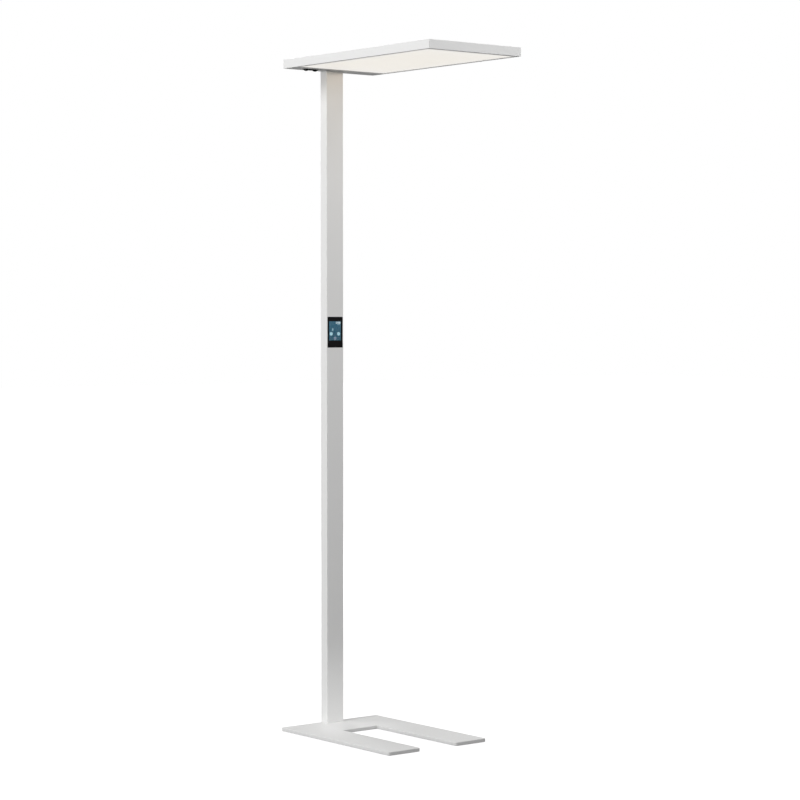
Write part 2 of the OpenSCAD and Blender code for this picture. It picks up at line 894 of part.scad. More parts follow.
// The two long rails, with pilot holes in their ledges for the cover screws
module side_rails() {
    color(paint)
        in_head()
            difference() {
                union() {
                    translate([-side_x, 0, 0])
                        mitred_rail(head_l);
                    translate([side_x, 0, 0])
                        rotate(180)
                            mitred_rail(head_l);
                }
                for (p = cover_points)
                    translate([p.x, p.y, v_ledge - eps])
                        cylinder(r = small_r + thread_gap, h = fin_t + 2 * eps);
            }
}

// The short rail at the free end
module front_rail() {
    color(paint)
        in_head()
            translate([0, front_y, 0])
                rotate(90)
                    mirror([0, 1, 0])
                        mitred_rail(head_w);
}

// The short rail over the column: its fins are milled away over the bracket,
// and its lip is drilled for the head screws and the supply lead
module rear_rail() {
    color(paint)
        in_head()
            difference() {
                translate([0, rear_y, 0])
                    rotate(-90)
                        mitred_rail(head_w);
                block([-notch_w / 2, rear_y - hook_in - eps, v_fin - eps],
                    [notch_w / 2, rear_y - rail_wall, v_upper_fin + fin_t + eps]);
                for (p = port_points)
                    translate([p.x, p.y, -eps])
                        cylinder(r = frame_hole_r, h = lip_t + 2 * eps);
                lead_holes(-eps, lip_t + eps);
            }
}

// Flat L-shaped keys in the rails' channels, one in each mitred corner
module corner_keys() {
    key_t = channel_d - 2 * thread_gap;
    a = rail_wall + thread_gap;
    color(raw_alloy)
        in_head()
            for (sx = [-1, 1], sy = [-1, 1])
                scale([sx, sy, 1])
                    translate([side_x - a, rear_y - a, v_channel + thread_gap])
                        difference() {
                            translate([-key_l, -key_l, 0])
                                cube([key_l, key_l, channel_h - 2 * thread_gap]);
                            translate([-key_l - eps, -key_l - eps, -eps])
                                cube([key_l + eps - key_t, key_l + eps - key_t, channel_h + 2 * eps]);
                        }
}

// ---- rear zone ----

// Opaque cover on the underside. Its rebated edge lies on the rails' lips,
// and its front ledge carries the light panel.
module rear_cover() {
    color(paint)
        in_head()
            difference() {
                union() {
                    block([-side_x + lip_gap_in, rear_y - rear_zone, 0],
                        [side_x - lip_gap_in, rear_y - lip_gap_in, lip_t]);
                    block([-side_x + inner_in, rear_y - flange_front, lip_t],
                        [side_x - inner_in, rear_y - inner_in, v_bracket]);
                }
                for (p = port_points)
                    translate([p.x, p.y, -eps])
                        cylinder(r = frame_hole_r, h = v_bracket + 2 * eps);
                lead_holes(-eps, v_bracket + eps);
                translate([-sensor_x, sensor_y, -eps])
                    pill(sensor_pitch, bezel_r - bezel_lip, v_bracket + 2 * eps);
                for (p = concat(driver_points, sensor_points))
                    translate([p.x, p.y, v_blind])
                        cylinder(r = small_r + thread_gap, h = v_bracket);
            }
}

// The passages for both leads, between two heights in the head
module lead_holes(v0, v1) {
    translate([0, lead_y, v0])
        cylinder(r = lead_r + lead_play, h = v1 - v0);
    translate([-data_x, data_y, v0])
        cylinder(r = data_r + lead_play, h = v1 - v0);
}

// Steel bracket: a plate screwed down onto the column, and an arm along the tray
module head_bracket() {
    color(steel)
        in_head()
            difference() {
                union() {
                    block([-bracket_w / 2, rear_y - flange_front, v_bracket],
                        [bracket_w / 2, rear_y - inner_in, v_screw_seat]);
                    block([-arm_w / 2, rear_y - flange_front, v_bracket],
                        [arm_w / 2, rear_y - arm_start, v_floor + arm_t]);
                    block([-arm_w / 2, rear_y - arm_reach, v_floor],
                        [arm_w / 2, rear_y - arm_start, v_floor + arm_t]);
                }
                for (p = port_points)
                    translate([p.x, p.y, v_screw_seat])
                        mirror([0, 0, 1])
                            flat_hole(frame_hole_r, frame_head_r, bracket_t);
                lead_holes(v_bracket - eps, v_screw_seat + eps);
                for (p = tray_points)
                    translate([p.x, p.y, v_floor - eps])
                        cylinder(r = small_r + hole_gap, h = arm_t + 2 * eps);
            }
}

// Screws down through the bracket and the underside into the column's ports
module head_screws() {
    color(steel)
        in_head()
            for (p = port_points)
                translate([p.x, p.y, v_screw_seat])
                    mirror([0, 0, 1])
                        flat_screw(frame_screw_r, frame_head_r, v_screw_seat + port_grip);
}

// ---- light panel and tray ----

// A flat sheet in the head between two heights, set in by side_in at the long sides
module head_sheet(side_in, rear_edge_y, v0, v1) {
    block([-side_x + side_in, front_y + inner_in, v0], [side_x - side_in, rear_edge_y, v1]);
}

// Prismatic panel, lying on the rails' lips and the rear cover's ledge
module light_panel() {
    color(opal)
        in_head()
            head_sheet(inner_in, stack_rear_y, v_panel, v_guide);
}

// Edge-lit light guide on the panel
module light_guide() {
    color(clear_sheet)
        in_head()
            head_sheet(guide_in, stack_rear_y, v_guide, v_reflector);
}

// White reflector between the light guide and the tray
module reflector_sheet() {
    color(board_white)
        in_head()
            head_sheet(inner_in, stack_rear_y, v_reflector, v_tray);
}

// Narrow boards on the long rails' walls, with emitters that face the light guide
module edge_light_strips() {
    y0 = front_y + inner_in + strip_front;
    y1 = stack_rear_y - strip_rear;
    count = floor((y1 - y0 - 2 * strip_end) / emitter_pitch);
    mid = (y0 + y1) / 2;
    v0 = v_guide + strip_gap;
    v1 = v_reflector - strip_gap;
    vm = (v0 + v1) / 2;
    color(board_white)
        in_head()
            for (sx = [-1, 1])
                scale([sx, 1, 1])
                    translate([side_x - rail_wall - strip_t, 0, 0]) {
                        block([0, y0, v0], [strip_t, y1, v1]);
                        for (i = [0:count])
                            block([-emitter_h, mid + (i - count / 2) * emitter_pitch - emitter_s / 2,
                                vm - emitter_s / 2],
                                [strip_t / 2, mid + (i - count / 2) * emitter_pitch + emitter_s / 2,
                                vm + emitter_s / 2]);
                    }
}

// Folded sheet tray: it clamps the light panel's stack under the rails' lower fins
module chassis_tray() {
    flange_in = hook_in + slip;
    y0 = front_y + inner_in;
    color(raw_alloy)
        in_head()
            difference() {
                union() {
                    head_sheet(inner_in, tray_rear_y, v_tray, v_floor);
                    for (sx = [-1, 1])
                        scale([sx, 1, 1])
                            block([side_x - flange_in - tray_t, y0 + flange_in, v_tray],
                                [side_x - flange_in, tray_rear_y, v_floor + flange_h]);
                }
                for (p = tray_points)
                    translate([p.x, p.y, v_tray - eps])
                        cylinder(r = small_r + thread_gap, h = tray_t + 2 * eps);
            }
}

// Screws that fix the bracket's arm to the tray
module tray_screws() {
    color(steel)
        in_head()
            for (p = tray_points)
                translate([p.x, p.y, v_floor + arm_t])
                    small_screw(arm_t + tray_t - tip_gap);
}

// Boards on the tray that light the ceiling, each with two rows of emitters
module uplight_boards() {
    step = upboard_l / upboard_cols;
    color(board_white)
        in_head()
            for (p = upboard_points)
                translate([p.x, p.y, v_floor]) {
                    block([-upboard_w / 2, -upboard_l / 2, 0], [upboard_w / 2, upboard_l / 2, board_t]);
                    for (sx = [-1, 1], i = [0:upboard_cols - 1])
                        translate([sx * upboard_w / 4, (i + 0.5) * step - upboard_l / 2, board_t - joint])
                            translate([-emitter_s / 2, -emitter_s / 2, 0])
                                cube([emitter_s, emitter_s, joint + emitter_h]);
                }
}

// ---- top cover ----

// Cover between the rails, open over the uplight boards
module top_cover() {
    color(paint)
        in_head()
            difference() {
                block([-side_x + inner_in, front_y + inner_in, v_cover],
                    [side_x - inner_in, rear_y - inner_in, head_t]);
                block([-side_x + window_side, front_y + window_front, v_cover - eps],
                    [side_x - window_side, rear_y - window_rear, head_t + eps]);
                for (p = cover_points)
                    translate([p.x, p.y, head_t])
                        mirror([0, 0, 1])
                            flat_hole(small_r + hole_gap / 2, small_head_r, cover_t);
            }
}

// Clear window for the uplight, flush in the cover, its flange bonded underneath
module top_window() {
    color(clear_sheet)
        in_head()
            union() {
                block([-side_x + window_side + slip, front_y + window_front + slip, v_cover],
                    [side_x - window_side - slip, rear_y - window_rear - slip, head_t]);
                block([-side_x + window_side - window_flange, front_y + window_front - window_flange,
                    v_cover - window_t],
                    [side_x - window_side + window_flange, rear_y - window_rear + window_flange, v_cover]);
            }
}

// Countersunk screws that hold the cover on the long rails' ledges
module cover_screws_top() {
    color(steel)
        in_head()
            for (p = cover_points)
                translate([p.x, p.y, head_t])
                    mirror([0, 0, 1])
                        flat_screw(small_r, small_head_r, cover_t + fin_t + cover_tip);
}

// ---- driver ----

// Driver case with an ear at each end and raised ribs on its lid
module led_driver() {
    x0 = driver_x;
    x1 = driver_x + driver_l;
    color(board_white)
        in_head()
            difference() {
                union() {
                    block([x0, driver_y - driver_w / 2, v_bracket],
                        [x1, driver_y + driver_w / 2, v_bracket + driver_h - rib_h]);
                    block([x0 - ear_l, driver_y - ear_w / 2, v_bracket],
                        [x1 + ear_l, driver_y + ear_w / 2, v_bracket + ear_t]);
                    for (i = [-2:2])
                        block([x0 + rib_in, driver_y + i * rib_pitch - rib_w / 2,
                            v_bracket + driver_h - rib_h - joint],
                            [x1 - rib_in, driver_y + i * rib_pitch + rib_w / 2, v_bracket + driver_h]);
                }
                for (p = driver_points)
                    translate([p.x, p.y, v_bracket - eps])
                        cylinder(r = small_r + hole_gap / 2, h = ear_t + 2 * eps);
            }
}

// Screws through the driver's ears into the rear cover
module driver_screws() {
    color(steel)
        in_head()
            for (p = driver_points)
                translate([p.x, p.y, v_bracket + ear_t])
                    small_screw(v_bracket + ear_t - v_blind - tip_gap);
}

// ---- sensors ----

// Board over the sensors, on four standoffs, with the two sensing elements under it
module sensor_board() {
    v0 = v_sensor_board;
    color(board_green)
        in_head()
            difference() {
                union() {
                    block([data_plug_x - sensor_board_l, sensor_y - sensor_board_w / 2, v0],
                        [data_plug_x, sensor_y + sensor_board_w / 2, v0 + board_t]);
                    block([data_plug_x - data_plug_l, data_y - data_plug_w / 2, v0 + board_t - joint],
                        [data_plug_x, data_y + data_plug_w / 2, v0 + board_t + data_plug_h]);
                    for (p = sensor_points)
                        translate([p.x, p.y, v_bracket])
                            cylinder(r = standoff_r, h = standoff_h + board_t / 2);
                    translate([-sensor_x - sensor_pitch / 2, sensor_y, can_v])
                        cylinder(r = presence_can_r, h = v0 - can_v + board_t / 2);
                    translate([-sensor_x + sensor_pitch / 2, sensor_y, can_v])
                        cylinder(r = daylight_can_r, h = v0 - can_v + board_t / 2);
                }
                for (p = sensor_points)
                    translate([p.x, p.y, v_bracket - eps])
                        cylinder(r = small_r + thread_gap, h = standoff_h + board_t + 2 * eps);
            }
}

// Screws down through the board and its standoffs into the rear cover
module sensor_screws() {
    color(steel)
        in_head()
            for (p = sensor_points)
                translate([p.x, p.y, v_sensor_board + board_t])
                    small_screw(v_sensor_board + board_t - v_blind - tip_gap);
}

// Black bezel under the cover that frames both lenses, clipped through a slot
module sensor_bezel() {
    color(black)
        in_head()
            translate([-sensor_x, sensor_y, 0])
                difference() {
                    union() {
                        translate([0, 0, -bezel_t])
                            pill(sensor_pitch, bezel_r, bezel_t);
                        translate([0, 0, -bezel_t / 2])
                            pill(sensor_pitch, bezel_r - bezel_lip - slip / 2, bezel_t / 2 + v_bracket);
                    }
                    translate([-sensor_pitch / 2, 0, -bezel_t - eps])
                        cylinder(r = presence_r - neck_in + slip / 2, h = bezel_t + v_bracket + 2 * eps);
                    translate([sensor_pitch / 2, 0, -bezel_t - eps])
                        cylinder(r = daylight_r - neck_in + slip / 2, h = bezel_t + v_bracket + 2 * eps);
                }
}

// Hollow domed lens, its rim on the bezel at z = 0, the dome below and a neck above
module dome_lens(r, h, neck_h) {
    neck_r = r - neck_in;
    cap_h = h - rim_t;
    cap_ball = (r * r + cap_h * cap_h) / (2 * cap_h);
    difference() {
        union() {
            translate([0, 0, -rim_t])
                cylinder(r = r, h = rim_t);
            translate([0, 0, -rim_t / 2])
                cylinder(r = neck_r, h = rim_t / 2 + neck_h);
            intersection() {
                translate([0, 0, cap_ball - h])
                    sphere(r = cap_ball);
                translate([0, 0, -h - eps])
                    cylinder(r = r + eps, h = h + eps - rim_t);
            }
        }
        translate([0, 0, -rim_t - cap_h / 3])
            cylinder(r = neck_r - lens_wall, h = rim_t + cap_h / 3 + neck_h + eps);
    }
}

// Lens of the presence sensor, the outer one of the pair
module presence_lens() {
    color(black)
        in_head()
            translate([-sensor_x - sensor_pitch / 2, sensor_y, -bezel_t])
                dome_lens(presence_r, presence_h, bezel_t + v_bracket);
}

// Lens of the daylight sensor, the one beside the column
module daylight_lens() {
    color(black)
        in_head()
            translate([-sensor_x + sensor_pitch / 2, sensor_y, -bezel_t])
                dome_lens(daylight_r, daylight_h, bezel_t + v_bracket);
}

base_plate();
floor_glides();
base_screws();
column_profile();
cable_grommet();
supply_terminal();
supply_lead();
data_lead();
lead_clips();
display_housing();
display_board();
display_panel();
display_seal();
display_glass();
board_screws();
housing_screws();
side_rails();
front_rail();
rear_rail();
corner_keys();
rear_cover();
head_bracket();
head_screws();
light_panel();
light_guide();
reflector_sheet();
edge_light_strips();
chassis_tray();
tray_screws();
uplight_boards();
top_cover();
top_window();
cover_screws_top();
led_driver();
driver_screws();
sensor_board();
sensor_screws();
sensor_bezel();
presence_lens();
daylight_lens();
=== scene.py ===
import math

import bmesh
import bpy
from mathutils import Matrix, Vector


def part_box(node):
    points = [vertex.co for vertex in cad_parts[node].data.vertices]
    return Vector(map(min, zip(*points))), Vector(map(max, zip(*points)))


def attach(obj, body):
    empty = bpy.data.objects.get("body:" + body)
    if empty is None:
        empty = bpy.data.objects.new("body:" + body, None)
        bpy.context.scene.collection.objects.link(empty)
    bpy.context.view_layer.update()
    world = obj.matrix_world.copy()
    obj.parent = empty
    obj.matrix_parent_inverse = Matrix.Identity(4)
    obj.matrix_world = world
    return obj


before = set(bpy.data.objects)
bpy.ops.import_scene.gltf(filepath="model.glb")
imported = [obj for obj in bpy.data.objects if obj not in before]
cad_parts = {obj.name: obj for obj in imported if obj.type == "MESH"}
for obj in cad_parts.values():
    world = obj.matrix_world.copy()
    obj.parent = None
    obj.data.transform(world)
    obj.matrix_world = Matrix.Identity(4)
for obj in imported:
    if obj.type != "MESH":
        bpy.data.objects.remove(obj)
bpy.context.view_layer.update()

MM = 0.001

# ---- the photograph's camera, in metres and pixels ----
IMAGE_PX = 800
FOCAL_PX = 2373.9
SENSOR_MM = 36.0
CAMERA_AT = Vector((-4.1963, -5.2671, 1.2073))
CAMERA_TURN = math.radians(38.558)
CAMERA_DOWN = math.radians(2.004)

# ---- colours of the pieces, linear ----
COAT = (0.79, 0.79, 0.785)
ZINC = (0.56, 0.57, 0.59)
MILL = (0.72, 0.73, 0.75)
WHITE_PLASTIC = (0.82, 0.82, 0.80)
REFLECTOR = (0.88, 0.88, 0.87)
BLACK = (0.010, 0.010, 0.011)
RUBBER = (0.014, 0.014, 0.014)
GLIDE = (0.02, 0.02, 0.02)
BEZEL = (0.005, 0.005, 0.005)
PRESENCE_DOME = (0.004, 0.004, 0.0045)
DAYLIGHT_DOME = (0.012, 0.012, 0.013)
WHITE_BOARD = (0.82, 0.82, 0.79)
GREEN_BOARD = (0.03, 0.16, 0.07)
GUIDE_TINT = (0.93, 0.96, 0.97)
WINDOW_TINT = (0.96, 0.965, 0.965)
GLASS_PRINT = (0.009, 0.009, 0.0095)
GLASS_TINT = (0.95, 0.98, 0.98)
NO_LIGHT = (0.0, 0.0, 0.0)
WHITE = (1, 1, 1)

# ---- refraction, and the share of light that the satin acrylic lets through ----
ACRYLIC_IOR = 1.49
ACRYLIC_CLEAR = 0.75
GLASS_IOR = 1.33

# ---- where most of a noise's values lie ----
NOISE_SPAN = (0.3, 0.7)

# ---- the light panel's glow, weaker in bands measured in from its edges: painted shade of the frame's lip ----
PANEL_STRENGTH = 0.768
PANEL_SHEET = (0.40, 0.395, 0.38)
PANEL_MIDDLE = (0.928, 0.888, 0.816)
PANEL_RIM = (0.92, 0.912, 0.90)
PANEL_RIM_SHARE = 0.75
LEFT_LIP_SHADE_BAND = 12.5 * MM
RIGHT_LIP_SHADE_BAND = 7.0 * MM
FRONT_LIP_SHADE_BAND = 24.0 * MM
BAND_SOFT = 2.0 * MM
SIDE_LIP_SHADE = 0.50
FRONT_LIP_SHADE = 0.60

# ---- the display's picture: half its width and height, and its colours ----
PICTURE_W = 22.0 * MM
PICTURE_H = 28.0 * MM
PIXEL = 0.25 * MM
PIXEL_GAP = 0.02 * MM
PIXEL_GAP_LOSS = 0.10
PICTURE_OFF = (0.004, 0.005, 0.006)
PICTURE_FOOT = (0.014, 0.070, 0.113)
PICTURE_HEAD = (0.015, 0.095, 0.158)
PICTURE_RIM = (0.038, 0.114, 0.160)
PICTURE_RIM_SHARE = 0.8
PICTURE_HAZE = (0.030, 0.108, 0.158)
PICTURE_HAZE_SHARE = 0.25

# ---- the display's symbols, placed from the picture's middle ----
ICON_T = 0.10 * MM
BUTTON_R = 5.2 * MM
LESS_AT = (-13.1 * MM, -8.7 * MM)
MORE_AT = (14.0 * MM, -8.7 * MM)
SIGN_LENGTH = 5.0 * MM
SIGN_STROKE = 0.7 * MM
POWER_AT = (1.0 * MM, -21.7 * MM)
POWER_R = 3.3 * MM
POWER_STROKE = 0.9 * MM
POWER_BAR = 3.4 * MM
POWER_BAR_UP = 2.4 * MM
PRESENCE_AT = (-7.5 * MM, 4.2 * MM)
PERSON_HEAD_R = 1.35 * MM
PERSON_HEAD_UP = 1.75 * MM
PERSON_HALF_W = 2.7 * MM
PERSON_H = 2.9 * MM
LEVEL_AT = (10.6 * MM, 19.2 * MM)
LEVEL_MARKS = 4
LEVEL_MARK = (1.9 * MM, 1.6 * MM)
LEVEL_STEP = 2.4 * MM
CLOCK = "12:30"
CLOCK_AT = (2.3 * MM, 23.8 * MM)
DIGIT_W = 3.1 * MM
DIGIT_H = 5.6 * MM
DIGIT_STROKE = 1.1 * MM
DIGIT_STEP = 4.3 * MM
COLON_STEP = 1.6 * MM
COLON_BACK = 0.7 * MM
ROUND_SIDES = 48
SMALL_SIDES = 32
DOT_SIDES = 16

# ---- the studio's floor, in metres, and its room light ----
FLOOR_HALF = 30.0
FLOOR_SEEN = (0.42, 0.42, 0.42)
FLOOR_LIGHTING = (0.06, 0.06, 0.06)
FLOOR_GLOW = 0.80
FAR_GLOW = 0.2
FAR_FROM = 1.2
FAR_TO = 4.0
ROOM_LIGHT = 0.18

# ---- the lamps under the head: their colours and their height ----
PANEL_LIGHT = (1.0, 0.80, 0.57)
EDGE_LIGHT = (1.0, 0.85, 0.68)
UNDER_HEAD = 1.9245

# Area lamps in metres, watts and degrees:
# name, place, point faced, width, length, power, colour, spread
LAMPS = (
    # soft windows all round
    ("key", (-5.0, 3.0, 2.0), (0, 0.1, 1.2), 2.0, 2.0, 82.0, WHITE, 180),
    ("key_low", (-6.0, 0.2, 1.0), (0, 0.1, 1.0), 2.4, 2.4, 84.0, WHITE, 180),
    ("key_high", (-5.2, -0.6, 4.2), (0, 0.1, 1.2), 2.4, 2.4, 179.0, WHITE, 180),
    ("front", (-0.6, -3.0, 1.4), (0, 0.1, 1.4), 1.2, 1.2, 8.6, WHITE, 180),
    ("front_high", (0.6, -2.2, 2.4), (0, 0.1, 1.4), 0.9, 0.9, 21.5, WHITE, 180),
    ("right", (5.0, -2.0, 3.0), (0, 0.1, 1.2), 2.4, 2.4, 83.5, WHITE, 180),
    ("side", (6.0, 1.4, 2.6), (0, 0.2, 1.2), 1.2, 1.2, 42.0, WHITE, 180),
    ("back", (1.0, 6.0, 2.6), (0, 0.3, 1.2), 1.2, 1.2, 92.0, WHITE, 180),
    ("top", (0, 0, 4.2), (0, 0, 1.4), 0.3, 0.3, 17.0, WHITE, 180),
    # a weak fill along the column's front, and one on its foot
    ("column_fill", (0, -0.12, 0.95), (0, 0.30, 0.95), 0.30, 1.35, 0.118, WHITE, 110),
    ("foot", (0, 0.00, 0.25), (0, 0.30, 0.02), 0.12, 0.12, 0.029, WHITE, 70),
    # what the light panel casts downward, on top of its visible glow
    ("panel", (0, -0.026, UNDER_HEAD), (0, -0.026, 0), 0.30, 0.59, 0.19, PANEL_LIGHT, 180),
    ("panel_rear", (0, 0.248, UNDER_HEAD), (0, 0.248, 0), 0.30, 0.03, 0.018, PANEL_LIGHT, 180),
    ("panel_edge", (0, 0.278, UNDER_HEAD), (0, 0.278, 0), 0.30, 0.014, 0.0335, EDGE_LIGHT, 180),
)


# ---------------------------------------------------------------- node helpers

def dark(color, share):
    """The colour with its light lowered by a share."""
    return tuple(c * (1 - share) for c in color)


class Shader:
    """A material's node tree, with short calls to add and join nodes."""

    def __init__(self, name):
        self.mat = bpy.data.materials.new(name)
        self.mat.use_nodes = True
        self.tree = self.mat.node_tree
        self.tree.nodes.clear()
        self.out = self.add("ShaderNodeOutputMaterial")
        self.place = self.add("ShaderNodeTexCoord").outputs["Object"]

    def add(self, kind, **settings):
        """A new node with its settings."""
        node = self.tree.nodes.new(kind)
        for key, value in settings.items():
            setattr(node, key, value)
        return node

    def join(self, source, target):
        self.tree.links.new(source, target)

    def put(self, socket, value):
        """Joins a socket to another one, or sets it to a number or a colour."""
        if isinstance(value, bpy.types.NodeSocket):
            self.join(value, socket)
        elif isinstance(value, tuple) and len(value) == 3 and len(socket.default_value) == 4:
            socket.default_value = (*value, 1.0)
        else:
            socket.default_value = value

    def fill(self, node, values):
        """Fills a node's sockets by name, with _ for the spaces."""
        for key, value in values.items():
            self.put(node.inputs[key.replace("_", " ")], value)

    def math(self, operation, a, b=0.0, clamp=False):
        node = self.add("ShaderNodeMath", operation=operation, use_clamp=clamp)
        self.put(node.inputs[0], a)
        self.put(node.inputs[1], b)
        return node.outputs[0]

    def axes(self):
        """The three coordinates of the place, by their letters."""
        node = self.add("ShaderNodeSeparateXYZ")
        self.join(self.place, node.inputs[0])
        return node.outputs

    def texture(self, kind, place=None, **values):
        """A texture node over the object, or over a place that was stretched or turned."""
        node = self.add(kind)
        self.join(place or self.place, node.inputs["Vector"])
        self.fill(node, values)
        return node

    def noise(self, scale, detail=2.0, rough=0.5, place=None):
        """Noise with a scale per metre."""
        node = self.texture("ShaderNodeTexNoise", place, Scale=scale, Detail=detail, Roughness=rough)
        return node.outputs["Fac"]

    def stretch(self, factors):
        """The place scaled along its axes, for drawn lines."""
        node = self.add("ShaderNodeMapping")
        self.join(self.place, node.inputs["Vector"])
        node.inputs["Scale"].default_value = factors
        return node.outputs["Vector"]

    def turned(self):
        """The place with up as its second axis, for patterns on upright faces."""
        node = self.add("ShaderNodeMapping")
        self.join(self.place, node.inputs["Vector"])
        node.inputs["Rotation"].default_value = (math.radians(-90), 0, 0)
        return node.outputs["Vector"]

    def span(self, value, source, target):
        """A value carried from one range to another, and held at its ends."""
        node = self.add("ShaderNodeMapRange")
        self.fill(node, dict(Value=value, From_Min=source[0], From_Max=source[1],
                             To_Min=target[0], To_Max=target[1]))
        return node.outputs["Result"]

    def mix(self, factor, a, b):
        """From one colour to the other as the factor goes from 0 to 1."""
        node = self.add("ShaderNodeMix", data_type="RGBA")
        self.put(node.inputs["Factor"], factor)
        self.put(node.inputs[6], a)
        self.put(node.inputs[7], b)
        return node.outputs[2]

    def cloudy(self, color, shade, scale, source=NOISE_SPAN):
        """The colour with soft patches that are darker by a share."""
        patches = self.span(self.noise(scale), source, (0.0, 1.0))
        return self.mix(patches, dark(color, shade), color)

    def edgeward(self, offset, half, power):
        """0 in the middle and 1 half a width away; the higher the power, the later it rises."""
        share = self.math("ABSOLUTE", self.math("DIVIDE", offset, half))
        return self.math("POWER", share, power)

    def bump(self, height, strength, distance, edge=None):
        """A fine relief, over edges that are rounded by a radius where one is given."""
        node = self.add("ShaderNodeBump")
        self.fill(node, dict(Height=height, Strength=strength, Distance=distance))
        if edge:
            bevel = self.add("ShaderNodeBevel", samples=6)
            self.put(bevel.inputs["Radius"], edge)
            self.join(bevel.outputs["Normal"], node.inputs["Normal"])
        return node.outputs["Normal"]

    def principled(self, **values):
        """The surface, from its sockets' values."""
        node = self.add("ShaderNodeBsdfPrincipled")
        self.fill(node, values)
        self.join(node.outputs["BSDF"], self.out.inputs["Surface"])

    def lit(self, tone):
        """A part of the display's picture: almost black, and lit in a tone."""
        self.principled(Base_Color=PICTURE_OFF, Roughness=0.5, Specular_IOR_Level=0.0,
                        Emission_Color=tone, Emission_Strength=1.0)


# ------------------------------------------------------------------- materials

def powder_coat(name, color, grain=1.0):
    """Fine satin powder coat: a low orange peel, faint speckle and cloudiness, softened edges."""
    s = Shader(name)
    tone = s.cloudy(color, shade=0.012, scale=3.0, source=(0.35, 0.65))
    speckle = s.span(s.noise(1700.0, detail=1.0, rough=0.6), (0.30, 0.45), (0.28 * grain, 0.0))
    tone = s.mix(speckle, tone, dark(color, 0.16))
    peel = s.noise(520.0, detail=3.0, rough=0.55)
    normal = s.bump(peel, strength=0.10 * grain, distance=0.12 * MM, edge=0.5 * MM)
    rough = s.span(s.noise(240.0), NOISE_SPAN, (0.46, 0.56))
    s.principled(Base_Color=tone, Roughness=rough, Specular_IOR_Level=0.15, Normal=normal)
    return s.mat


def metal(name, color, rough, brush=(1, 1, 1)):
    """Bare or plated metal with a fine grain, drawn out into lines by the brush's factors."""
    s = Shader(name)
    lines = s.noise(900.0, detail=3.0, rough=0.6, place=s.stretch(brush))
    tone = s.cloudy(color, shade=0.10, scale=35.0)
    tone = s.mix(s.span(lines, NOISE_SPAN, (0.35, 0.0)), tone, dark(color, 0.22))
    normal = s.bump(lines, strength=0.12, distance=0.05 * MM, edge=0.15 * MM)
    satin = s.span(lines, (0.2, 0.8), rough)
    s.principled(Base_Color=tone, Metallic=1.0, Roughness=satin, Normal=normal)
    return s.mat


def plastic(name, color, rough=(0.45, 0.6), grain_scale=900.0, grain=0.15, gloss=0.5):
    """Moulded plastic or rubber with a fine spark-eroded grain."""
    s = Shader(name)
    sparks = s.noise(grain_scale, rough=0.6)
    tone = s.cloudy(color, shade=0.12, scale=28.0)
    normal = s.bump(sparks, strength=grain, distance=0.1 * MM, edge=0.3 * MM)
    satin = s.span(sparks, NOISE_SPAN, rough)
    s.principled(Base_Color=tone, Roughness=satin, Specular_IOR_Level=gloss, Normal=normal)
    return s.mat


def dome(name, color, rough, gloss):
    """A sensor's smooth dark lens."""
    return plastic(name, color, rough, grain_scale=500.0, grain=0.04, gloss=gloss)


def board(name, color):
    """Solder mask over faint tracks."""
    s = Shader(name)
    tracks = s.texture("ShaderNodeTexBrick", Scale=160.0, Mortar_Size=0.05,
                       Color1=color, Color2=dark(color, 0.08), Mortar=dark(color, 0.3))
    rough = s.span(s.noise(300.0), NOISE_SPAN, (0.28, 0.4))
    s.principled(Base_Color=tracks.outputs["Color"], Roughness=rough)
    return s.mat


def painted_lip_shade(s, inset, band, lip_shade):
    """The share of glow taken away inside a band along an edge, with a soft end: painted shade of the
    frame's lip.
    """
    return s.span(inset, (band - BAND_SOFT, band + BAND_SOFT), (lip_shade, 0.0))


def glowing_panel(name):
    """Opal panel with fine prisms: an even warm-white glow, with the frame lip's shade painted along
    its edges.
    """
    s = Shader(name)
    low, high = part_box("light_panel")
    half_w = high.x
    mid_y = (low.y + high.y) / 2
    half_l = (high.y - low.y) / 2
    axes = s.axes()

    across = s.edgeward(axes["X"], half_w, power=5.0)
    along = s.edgeward(s.math("SUBTRACT", axes["Y"], mid_y), half_l, power=5.0)
    rim = s.math("MAXIMUM", across, along, clamp=True)
    glow = s.mix(s.math("MULTIPLY", rim, PANEL_RIM_SHARE), PANEL_MIDDLE, PANEL_RIM)
    cloud = s.noise(7.0, detail=1.0)
    glow = s.mix(s.span(cloud, NOISE_SPAN, (0.12, 0.0)), glow, dark(PANEL_MIDDLE, 0.12))

    # painted shade: the glow is lowered in bands along the left, right and front edges, where the
    # frame's lip shades the panel
    left = painted_lip_shade(s, s.math("ADD", axes["X"], half_w), LEFT_LIP_SHADE_BAND, SIDE_LIP_SHADE)
    right = painted_lip_shade(s, s.math("SUBTRACT", half_w, axes["X"]), RIGHT_LIP_SHADE_BAND, SIDE_LIP_SHADE)
    front = painted_lip_shade(s, s.math("SUBTRACT", axes["Y"], low.y), FRONT_LIP_SHADE_BAND, FRONT_LIP_SHADE)
    lip_shade = s.math("MAXIMUM", s.math("MAXIMUM", left, right), front)
    glow = s.mix(lip_shade, glow, NO_LIGHT)

    prisms = s.texture("ShaderNodeTexVoronoi", Scale=900.0, Randomness=0.0)
    prisms.distance = "CHEBYCHEV"
    normal = s.bump(prisms.outputs["Distance"], strength=0.25, distance=0.3 * MM)
    s.principled(Base_Color=PANEL_SHEET, Roughness=0.55, Specular_IOR_Level=0.15,
                 Emission_Color=glow, Emission_Strength=PANEL_STRENGTH, Normal=normal)
    return s.mat


def clear_sheet(name, tint, rough):
    """Satin clear acrylic, seen through for the most part."""
    s = Shader(name)
    satin = s.span(s.noise(60.0), NOISE_SPAN, (rough, rough + 0.06))
    s.principled(Base_Color=tint, Roughness=satin, IOR=ACRYLIC_IOR,
                 Transmission_Weight=ACRYLIC_CLEAR)
    return s.mat


